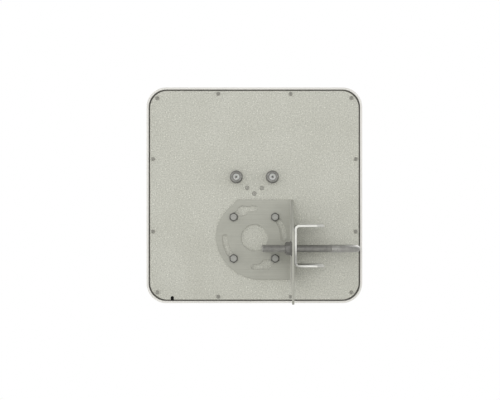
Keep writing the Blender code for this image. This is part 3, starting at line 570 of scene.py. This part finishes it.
def laminate(name, bare, metal):
    """Circuit laminate, its woven glass faintly showing, with a metal layer's sheen over it."""
    f = Finish(name, metallic=0.2)
    weave = f.noise(1.0, 1.0, 0.5, f.stretched(1600, 60, 1600))
    tone = f.span(f.noise(35.0, 3.0), 0.35, 0.65)
    f.colour(f.mix(f.span(weave, 0.35, 0.65, 0.0, 0.35), f.mix(tone, bare, metal), bare))
    f.roughness(f.span(weave, 0.3, 0.7, 0.4, 0.55))
    f.bump(weave, 0.00005, 0.5)
    return f.material


def foam():
    f = Finish("foam", Specular_IOR_Level=0.2)
    pores = f.cells(900.0)
    # painted shade: the pores' hollows are coloured darker
    f.colour(f.mix(f.span(pores, 0.0, 0.6), srgb(196, 196, 192), srgb(230, 230, 226)))
    f.roughness(0.95)
    f.bump(pores, 0.0004, 0.8)
    return f.material


FINISHES = {
    "radome_plastic": moulded_plastic(),
    "gasket_rubber": rubber(),
    "plate_metal": sparkling_plate(),
    "bracket_steel": brushed_steel(),
    "saddle_steel": bright_zinc(),
    "galvanised_steel": galvanised("galvanised_steel", srgb(142, 141, 137), srgb(174, 173, 168),
                                   0.55),
    # bolt sides painted down to 0.34 of their tone, as painted shade
    "bolt_steel": plated_fastener("bolt_steel", srgb(162, 162, 157), srgb(142, 142, 136),
                                  0.4, 0.55, 0.34),
    "screw_steel": plated_fastener("screw_steel", srgb(182, 181, 172), srgb(148, 147, 140),
                                   0.45, 0.6),
    "nickel": plated_brass(),
    "ptfe": insulator_plastic("ptfe", srgb(226, 226, 222), srgb(216, 215, 211)),
    "contact_plating": contact_plating(),
    "circuit_board": laminate("circuit_board", srgb(34, 84, 50), srgb(48, 106, 66)),
    "patch_board": laminate("patch_board", srgb(186, 128, 92), srgb(208, 150, 110)),
    "nylon": insulator_plastic("nylon", srgb(222, 220, 210), srgb(208, 206, 194), 300.0),
    "foam": foam(),
}
# painted shade: the nuts get a darker copy of the U-bolt's galvanised zinc
SHADED_NUT_FINISH = galvanised("galvanised_nut_painted_shade", srgb(104, 103, 99), srgb(128, 127, 123), 0.3)
SLOT_OF = {part["node"]: part["material_slot"] for part in frame["record"]["subparts"]}
BODY_OF = {node: body for body, nodes in frame["record"]["behaviour"]["bodies"].items()
           for node in nodes}

for node_name, node_object in frame["nodes"].items():
    node_object.data.materials.clear()
    node_object.data.materials.append(FINISHES[SLOT_OF[node_name]])


# ------------------------------------------------------------------ placing
SHARP_ANGLE = math.radians(32.0)


def stand_in_for(node, mesh, where=(0, 0, 0), turn=None, finish=None):
    """Show a detailed mesh in place of a CAD node, on its body and in its material."""
    mesh.materials.clear()
    mesh.materials.append(finish or FINISHES[SLOT_OF[node]])
    mesh.shade_smooth()
    mesh.set_sharp_from_angle(angle=SHARP_ANGLE)
    piece = bpy.data.objects.new(f"{node}_detail", mesh)
    bpy.context.scene.collection.objects.link(piece)
    piece.location = where
    if turn:
        piece.rotation_euler = turn.to_euler()
    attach(piece, BODY_OF[node])
    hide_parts(node)
    return piece


def each(stem, count):
    return [f"{stem}_{number}" for number in range(1, count + 1)]


def jacks():
    return [f"n_jack_{{}}_{side}" for side in ("left", "right")]


# ------------------------------------------------------------------ radome and back plate
WALL = 0.0029
CORNER = 0.0280
FRONT_ROUND = 0.0077


def show_radome():
    """The moulded tray: rim, ledge for the gasket, rounded front edge and faintly crowned face."""
    half = (PANEL_HIGH.x - PANEL_LOW.x) / 2
    rim, front = PANEL_LOW.y, PANEL_HIGH.y
    inner, inner_corner = half - WALL, CORNER - WALL
    ledge, ledge_y, ledge_height = 0.0045, BACK_Y + 0.0042, 0.0030
    soft = 0.0004
    levels = [(front - WALL, 0.1, 0.02), (front - WALL, inner - 0.006, inner_corner - 0.006),
              (front - WALL - 0.006, inner, inner_corner),
              (ledge_y + ledge_height, inner, inner_corner),
              (ledge_y + ledge_height, inner - ledge, inner_corner - ledge),
              (ledge_y, inner - ledge, inner_corner - ledge),
              (ledge_y, inner, inner_corner),
              (rim + soft, inner, inner_corner),
              (rim, inner + soft, inner_corner + soft),
              (rim, half - soft, CORNER - soft),
              (rim + soft, half, CORNER)]
    turn_y = front - 0.0003 - FRONT_ROUND
    for step in range(13):
        angle = math.pi / 2 * step / 12
        inset = FRONT_ROUND * (1 - math.cos(angle))
        levels.append((turn_y + FRONT_ROUND * math.sin(angle), half - inset, CORNER - inset))
    edge = half - FRONT_ROUND
    for share in (0.92, 0.8, 0.6, 0.35, 0.08):
        levels.append((front - 0.0003 * share ** 2, edge * share, (CORNER - FRONT_ROUND) * share))
    rings = [[(x, y - BACK_Y, z) for x, z in rounded_square(size, corner)]
             for y, size, corner in levels]
    boss = turned([(0.0, BACK_Y - front + WALL / 2), (0.0040, BACK_Y - front + WALL / 2),
                   (0.0040, BACK_Y - ledge_y - 0.0003), (0.0018, BACK_Y - ledge_y - 0.0003),
                   (0.0018, -0.0123), (0.0, -0.0123)], 24)
    bosses = []
    for node in each("cover_screw", 12):
        place = on_plate(node)
        move = Matrix.Translation((place.x - PANEL.x, 0, place.z - PANEL.z))
        bosses.append((boss, move @ BACKWARD))
    stand_in_for("radome", together(skin(rings), *bosses), (PANEL.x, BACK_Y, PANEL.z))


def show_back_plate():
    """The back sheet, with its holes and the drain notch in its bottom edge."""
    half = (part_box("back_plate")[1].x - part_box("back_plate")[0].x) / 2
    outline = rounded_square(half, 0.0245)
    notch_half, notch_depth = 0.00225, 0.0050
    notch = arc((DRAIN_X, -half + notch_depth - notch_half), notch_half, math.pi, 0.0, 16)
    notch = [(DRAIN_X - notch_half, -half)] + notch + [(DRAIN_X + notch_half, -half)]
    last = len(outline) * 3 // 4
    loops = [outline[:last] + notch + outline[last:]]
    holes = ([(node, 0.0021) for node in each("cover_screw", 12)]
             + [(node, 0.0035) for node in each("bracket_bolt", 4)]
             + [(node, 0.0030) for node in each("board_screw", 3)]
             + [(jack.format("shell"), 0.0083) for jack in jacks()])
    for node, radius in holes:
        place = on_plate(node)
        loops.append(circle((place.x - PANEL.x, place.z - PANEL.z), radius, 48))
    mesh = sheet(loops, PLATE, 0.0003)
    mesh.transform(Matrix.Translation((0, PLATE / 2, 0)) @ BACKWARD)
    stand_in_for("back_plate", mesh, (PANEL.x, BACK_Y, PANEL.z))


# ------------------------------------------------------------------ fasteners on the back plate
def show_screws():
    """Pan-head cover screws, and flush countersunk board screws, with cross recesses."""
    pan = turned([(0.0, 0.0024), (0.0009, 0.00235), (0.0017, 0.00212), (0.0023, 0.00168),
                  (0.00265, 0.0012), (0.00275, 0.0008), (0.00275, 0.0003), (0.00145, 0.0003),
                  (0.00145, -0.0085), (0.0004, -0.0100), (0.0, -0.0100)], 40)
    pan = shaped(pan, *cross(0.0031, 0.0007, 0.0012, 0.0030))
    for node in each("cover_screw", 12):
        stand_in_for(node, pan, on_plate(node), BACKWARD)
    flush = turned([(0.0, -0.00005), (0.0026, -0.00005), (0.0028, -0.00025), (0.0015, -0.0017),
                    (0.0015, -0.0127), (0.0012, -0.0130), (0.0, -0.0130)], 40)
    flush = shaped(flush, *cross(0.0030, 0.0007, -0.0011, 0.0010))
    for node in each("board_screw", 3):
        stand_in_for(node, flush, on_plate(node), BACKWARD)


def show_bolts():
    """Chamfered hexagon bolts on split spring washers."""
    flats = 0.0111
    corner = flats / math.sqrt(3.0) + 0.0002
    low = BACK_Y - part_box("bracket_bolt_1")[0].y - 0.0041
    high = low + 0.0041
    chamfer = turned([(0.0, high), (flats * 0.40, high), (corner, high - 0.0014),
                      (corner, low + 0.0004), (flats * 0.49, low), (0.0, low)])
    head = shaped(hexagon(flats, low - 0.001, high + 0.001, math.pi / 2), ("INTERSECT", chamfer))
    end = -PLATE - 0.0049
    thread = threaded(0.003175, 0.0026, 0.00127, end + 0.0006, low, 24)
    tip = turned([(0.0026, end + 0.0006), (0.0020, end), (0.0, end)], 24)
    bolt = together(head, thread, tip)
    split = math.radians(6.0)
    outer = arc((0, 0), 0.0055, split, 2 * math.pi - split, 48)
    inner = arc((0, 0), 0.0035, 2 * math.pi - 3 * split, -split, 48)
    washer = sheet([outer + inner], 0.0016, 0.00025)
    washer.transform(Matrix.Translation((0, 0, low - 0.0011)))
    for number in range(1, 5):
        place = on_plate(f"bracket_bolt_{number}")
        twist = Matrix.Rotation(math.radians((0, 3, -4, 2)[number - 1]), 4, "Y")
        stand_in_for(f"bracket_bolt_{number}", bolt, place, twist @ BACKWARD)
        turn = Matrix.Rotation(math.radians(95.0 * number), 4, "Y")
        stand_in_for(f"lock_washer_{number}", washer, place, turn @ BACKWARD)


# ------------------------------------------------------------------ jacks
def show_jacks():
    """N jacks: threaded shell with its collar, insulator and slotted centre contact."""
    mouth, top, tail = 0.0190, 0.0165, -0.0075
    thread_low, thread_high = 0.0066, mouth - 0.0006
    major, minor, bore = 0.00794, 0.00730, 0.0049
    shell = together(
        threaded(major, minor, 0.001058, thread_low, thread_high, 48),
        turned([(minor, thread_high), (0.00700, mouth), (bore + 0.0003, mouth),
                (bore, mouth - 0.0003), (bore, tail), (major - 0.0004, tail),
                (major, tail + 0.0004), (major, 0.0016),
                (0.0086, 0.0016), (0.0091, 0.0021), (0.0091, 0.0045), (0.0086, 0.0050),
                (0.0072, 0.0050), (0.0072, thread_low - 0.0003), (minor, thread_low)]))
    insulator = turned([(0.0018, tail), (0.0047, tail), (0.0047, top - 0.0002), (0.0045, top),
                        (0.0023, top), (0.0021, top - 0.0004), (0.0018, top - 0.0004)], closed=True)
    contact_top = 0.0175
    contact = turned([(0.0, contact_top - 0.006), (0.00085, contact_top - 0.006),
                      (0.00085, contact_top - 0.0003), (0.0011, contact_top), (0.0013, contact_top),
                      (0.0015, contact_top - 0.0004), (0.0015, -0.0105), (0.0012, -0.0108),
                      (0.0, -0.0108)], 32)
    slots = [("DIFFERENCE", block((0.004, 0.0003, 0.005), (0, 0, contact_top - 0.0024), turn))
             for turn in (0.3, 0.3 + math.pi / 2)]
    contact = shaped(contact, *slots)
    for jack in jacks():
        place = on_plate(jack.format("shell"))
        for part, mesh in (("shell", shell), ("insulator", insulator), ("contact", contact)):
            stand_in_for(jack.format(part), mesh, place, BACKWARD)


# ------------------------------------------------------------------ bracket and saddle
SHEET = 0.0030
BEND = 0.0045                               # outer radius
SWIVEL = middle("bracket_bolt_1").lerp(middle("bracket_bolt_3"), 0.5)
DISC_RADIUS, DISC_TOP, DISC_LOW, HEEL_RADIUS = 0.0545, 0.0536, 0.0590, 0.0630
BLADE_REAR_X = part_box("l_bracket")[1].x - SHEET
BLADE_END_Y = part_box("l_bracket")[0].y
BLADE_END_TOP_Z, BLADE_END_LOW_Z = 0.0275, -0.0783
PLATE_REAR_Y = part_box("l_bracket")[1].y - SHEET
ROD_RADIUS = 0.00476
ROD_HOLE = 0.0053
LEG_Y = 0.03256


def bracket_outline(blade_start, blade_end):
    """The blank's edge: round plate on the left, flat top and bottom, slanting blade beyond."""
    x, z = SWIVEL.x, SWIVEL.z
    corner = 0.0060
    tangent_x = x + DISC_TOP - DISC_RADIUS * math.sqrt(2.0)
    heel_rise = HEEL_RADIUS - DISC_LOW
    side = math.pi - math.asin(heel_rise / DISC_RADIUS)
    heel_x = x + DISC_RADIUS * math.cos(side) + HEEL_RADIUS
    points = [(tangent_x, z + DISC_TOP)]
    points += arc((x, z), DISC_RADIUS, math.radians(135.0), side, 28)
    points += arc((heel_x, z + heel_rise), HEEL_RADIUS, math.pi, math.pi * 1.5, 48)[1:]
    points.append((blade_start, z - DISC_LOW))
    low_slope = math.atan2(BLADE_END_LOW_Z - z + DISC_LOW, blade_end - blade_start)
    top_slope = math.atan2(z + DISC_TOP - BLADE_END_TOP_Z, blade_end - blade_start)
    for height, slope, sign in ((BLADE_END_LOW_Z, low_slope, 1), (BLADE_END_TOP_Z, -top_slope, -1)):
        centre = (blade_end - corner,
                  height + sign * corner / math.cos(slope) - corner * math.tan(slope))
        if sign > 0:
            points += arc(centre, corner, slope - math.pi / 2, 0.0, 16)
        else:
            points += arc(centre, corner, 0.0, math.pi / 2 + slope, 16)
    points.append((blade_start, z + DISC_TOP))
    return points


def show_bracket():
    """The L bracket, folded from one blank that runs along X over the plate and then the blade."""
    middle_radius = BEND - SHEET / 2
    length = middle_radius * math.pi / 2
    start = BLADE_REAR_X + SHEET - BEND
    end = start + length
    blade_x, plate_y = BLADE_REAR_X + SHEET / 2, PLATE_REAR_Y + SHEET / 2
    blade_y = plate_y - middle_radius
    blade_end = end + blade_y - BLADE_END_Y

    def fold(u, v, t):
        if u <= start:
            return Vector((u, plate_y + t, v))
        if u < end:
            turn = (u - start) / middle_radius
            return Vector((start + (middle_radius + t) * math.sin(turn),
                           blade_y + (middle_radius + t) * math.cos(turn), v))
        return Vector((blade_x + t, blade_y - (u - end), v))

    centre = (SWIVEL.x, SWIVEL.z)
    loops = [bracket_outline(end, blade_end), circle(centre, 0.0188, 96)]
    bolt_circle, slot_width, slot_sweep = 0.0293 * math.sqrt(2.0), 0.0078, math.radians(46.0)
    keyhole_back, keyhole_radius = math.radians(22.0), 0.0072
    for index in range(4):
        angle = math.radians(45.0 + 90.0 * index)
        keyhole = (angle - keyhole_back, keyhole_radius) if index % 2 else None
        loops.append(arc_slot(centre, bolt_circle, slot_width, angle - slot_sweep, angle, keyhole))
    hole = (end + blade_y - LEG_Y, 0.0)
    loops.append(circle(hole, ROD_HOLE, 48))
    loops.append(arc_slot(hole, 2 * LEG_Y, 2 * ROD_HOLE, math.radians(-26.5), math.radians(16.5)))
    cuts = [((start + length * i / 12, 0, 0), (1, 0, 0)) for i in range(13)]
    stand_in_for("l_bracket", bent(sheet(loops, SHEET, 0.00015), cuts, fold))


def show_saddle():
    """The pressed U saddle with a toothed V in each flange."""
    low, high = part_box("saddle")
    thickness, bend = 0.0031, 0.0066
    rear_x, tip_x, shoulder_x = low.x, high.x, -0.0236
    mid_z, height = (low.z + high.z) / 2, high.z - low.z
    middle_radius = bend - thickness / 2
    length = middle_radius * math.pi / 2
    web_half = height / 2 - bend
    web_x, flange_x = rear_x + thickness / 2, rear_x + bend
    flange_start = web_half + length

    def fold(y, s, t):
        side = 1 if s > 0 else -1
        reach = abs(s)
        if reach <= web_half:
            return Vector((web_x - t, y, mid_z + s))
        if reach < flange_start:
            turn = (reach - web_half) / middle_radius
            radius = middle_radius + t
            return Vector((web_x + middle_radius - radius * math.cos(turn), y,
                           mid_z + side * (web_half + radius * math.sin(turn))))
        return Vector((flange_x + reach - flange_start, y,
                       mid_z + side * (web_half + middle_radius + t)))

    notch_y, tip_y, teeth = 0.0255, 0.0333, 9
    apex_x = tip_x - notch_y
    pitch = notch_y / teeth
    inward = 0.0015 / math.sqrt(2.0)
    edge = [(high.y, shoulder_x), (tip_y, tip_x), (notch_y, tip_x)]
    for tooth in range(teeth):
        crest = notch_y - tooth * pitch
        valley = crest - pitch / 2
        if tooth:
            edge.append((crest, apex_x + crest))
        edge.append((valley + inward, apex_x + valley - inward))
    edge = edge + [(0.0, apex_x)] + [(-y, x) for y, x in reversed(edge)]
    flange = [(y, flange_start + x - flange_x) for y, x in edge]
    loops = [flange + [(-y, -s) for y, s in flange]]
    loops += [circle((y, -mid_z), ROD_HOLE, 48) for y in (-LEG_Y, LEG_Y)]
    cuts = [((0, side * (web_half + length * i / 12), 0), (0, 1, 0))
            for side in (-1, 1) for i in range(13)]
    stand_in_for("saddle", bent(sheet(loops, thickness, 0.0003), cuts, fold))


# ------------------------------------------------------------------ U-bolt and nuts
def show_u_bolt():
    """Round bar with rolled threads on both legs."""
    leg_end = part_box("u_bolt")[0].x
    plain_from = -0.0040
    minor = ROD_RADIUS - 0.00070
    run = plain_from - leg_end
    leg = together(threaded(ROD_RADIUS, minor, 0.0015875, 0.0008, run, 32),
                   turned([(minor, 0.0008), (minor - 0.0008, 0.0), (0.0, 0.0)], 32))
    path = [Vector((plain_from - 0.0002, -LEG_Y, 0)), Vector((plain_from + 0.0006, -LEG_Y, 0))]
    path += [Vector((x, y, 0)) for x, y in arc((0, 0), LEG_Y, -math.pi / 2, math.pi / 2, 64)]
    path += [Vector((plain_from + 0.0006, LEG_Y, 0)), Vector((plain_from - 0.0002, LEG_Y, 0))]
    rings = []
    for i, point in enumerate(path):
        along = (path[min(i + 1, len(path) - 1)] - path[max(i - 1, 0)]).normalized()
        side = along.cross(Vector((0, 0, 1)))
        radius = ROD_RADIUS if 0 < i < len(path) - 1 else minor
        rings.append([point + side * x + Vector((0, 0, y)) for x, y in circle((0, 0), radius, 48)])
    legs = [(leg, Matrix.Translation((leg_end, y, 0)) @ RIGHTWARD) for y in (-LEG_Y, LEG_Y)]
    stand_in_for("u_bolt", together(skin(rings), *legs))


def show_nuts():
    """Flange nuts, chamfered, on the U-bolt's legs."""
    flats, height = 0.0143, 0.0086
    corner = flats / math.sqrt(3.0) + 0.0002
    chamfer = turned([(0.0, height), (flats * 0.46, height), (corner, height - 0.0016),
                      (corner, -0.001), (0.0, -0.001)])
    flange = turned([(0.0, 0.0036), (flats * 0.47, 0.0036), (0.0093, 0.0014), (0.0098, 0.0012),
                     (0.0100, 0.0008), (0.0100, 0.0002), (0.0098, 0.0), (0.0, 0.0)], 72)
    bore = turned([(0.0, -0.001), (0.0056, -0.001), (0.0056, 0.0), (0.0049, 0.0007),
                   (0.0049, height - 0.0007), (0.0056, height), (0.0056, height + 0.002),
                   (0.0, height + 0.002)], 48)
    nut = shaped(hexagon(flats, 0.0010, height + 0.001), ("INTERSECT", chamfer), ("UNION", flange),
                 ("DIFFERENCE", bore))
    for node in ("flange_nut_near", "flange_nut_far"):
        low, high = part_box(node)
        stand_in_for(node, nut, (high.x, (low.y + high.y) / 2, (low.z + high.z) / 2), LEFTWARD,
                     finish=SHADED_NUT_FINISH)


show_radome()
show_back_plate()
show_screws()
show_bolts()
show_jacks()
show_bracket()
show_saddle()
show_u_bolt()
show_nuts()


# ------------------------------------------------------------------ studio
def add_floor():
    """A plain pale floor under the object, out of the camera's view as in the photograph."""
    bm = bmesh.new()
    bmesh.ops.create_grid(bm, x_segments=1, y_segments=1, size=0.5)
    floor = bpy.data.objects.new("floor", finished(bm, "floor"))
    bpy.context.scene.collection.objects.link(floor)
    floor.scale = (3.6, 2.6, 1.0)
    floor.location = (PANEL.x, -0.45, -0.30)
    finish = Finish("floor", Specular_IOR_Level=0.2)
    tone = finish.span(finish.noise(2.0, 3.0), 0.3, 0.7)
    finish.colour(finish.mix(tone, (0.80, 0.80, 0.79, 1.0), (0.84, 0.84, 0.83, 1.0)))
    finish.roughness(0.8)
    floor.data.materials.append(finish.material)


# name, place, side of the square, watts; each one faces the panel
LIGHTS = (("key", (-0.95, -2.9, 1.0), 2.0, 8.0),
          ("lens_side", (-0.1, -3.7, 0.4), 1.6, 23.0),
          ("left", (-2.6, -0.7, 0.6), 1.8, 19.0),
          ("fill", (1.6, -2.5, 0.3), 1.8, 9.0),
          ("right", (2.6, -1.0, 0.35), 1.2, 9.0),
          ("front", (0.8, 2.4, 1.2), 1.6, 38.0))


def add_lights():
    """Soft area lights, unseen by the camera; all of the floor is in front of each one's plane."""
    for name, where, side, power in LIGHTS:
        light = bpy.data.lights.new(name, "AREA")
        light.shape = "RECTANGLE"
        light.size = light.size_y = side
        light.energy = power
        obj = bpy.data.objects.new(name, light)
        bpy.context.scene.collection.objects.link(obj)
        obj.location = where
        obj.rotation_euler = (PANEL - Vector(where)).to_track_quat("-Z", "Y").to_euler()
        obj.visible_camera = False


# how bright the surroundings are along each axis, from the low end to the high end
SURROUNDINGS = (("Z", 0.15, 0.55), ("Y", 0.0, 0.08))


def light_world():
    """A backdrop that the camera sees white, and that is brightest above and in front."""
    world = bpy.data.worlds.new("studio")
    bpy.context.scene.world = world
    world.use_nodes = True
    tree = world.node_tree
    background = tree.nodes["Background"]
    background.inputs["Color"].default_value = (1.0, 1.0, 1.0, 1.0)
    direction = tree.nodes.new("ShaderNodeTexCoord").outputs["Generated"]
    split = tree.nodes.new("ShaderNodeSeparateXYZ")
    tree.links.new(direction, split.inputs[0])
    levels = []
    for axis, low, high in SURROUNDINGS:
        span = tree.nodes.new("ShaderNodeMapRange")
        span.inputs["From Min"].default_value = -0.8
        span.inputs["From Max"].default_value = 0.9
        span.inputs["To Min"].default_value = low
        span.inputs["To Max"].default_value = high
        tree.links.new(split.outputs[axis], span.inputs["Value"])
        levels.append(span.outputs["Result"])
    total = tree.nodes.new("ShaderNodeMath")
    tree.links.new(levels[0], total.inputs[0])
    tree.links.new(levels[1], total.inputs[1])
    seen = tree.nodes.new("ShaderNodeMix")
    tree.links.new(tree.nodes.new("ShaderNodeLightPath").outputs["Is Camera Ray"], seen.inputs[0])
    tree.links.new(total.outputs[0], seen.inputs[2])
    seen.inputs[3].default_value = 1.0
    tree.links.new(seen.outputs[0], background.inputs["Strength"])


def add_camera():
    camera = bpy.data.cameras.new("camera")
    camera.sensor_width = 36.0
    camera.lens = 168.5
    camera.clip_end = 50.0
    obj = bpy.data.objects.new("camera", camera)
    bpy.context.scene.collection.objects.link(obj)
    obj.location = (-0.1156, -3.246, 0.0673)
    obj.rotation_euler = (math.radians(90.0), 0.0, 0.0)
    bpy.context.scene.camera = obj


add_floor()
light_world()
add_lights()
add_camera()
bpy.context.scene.view_settings.view_transform = "Standard"
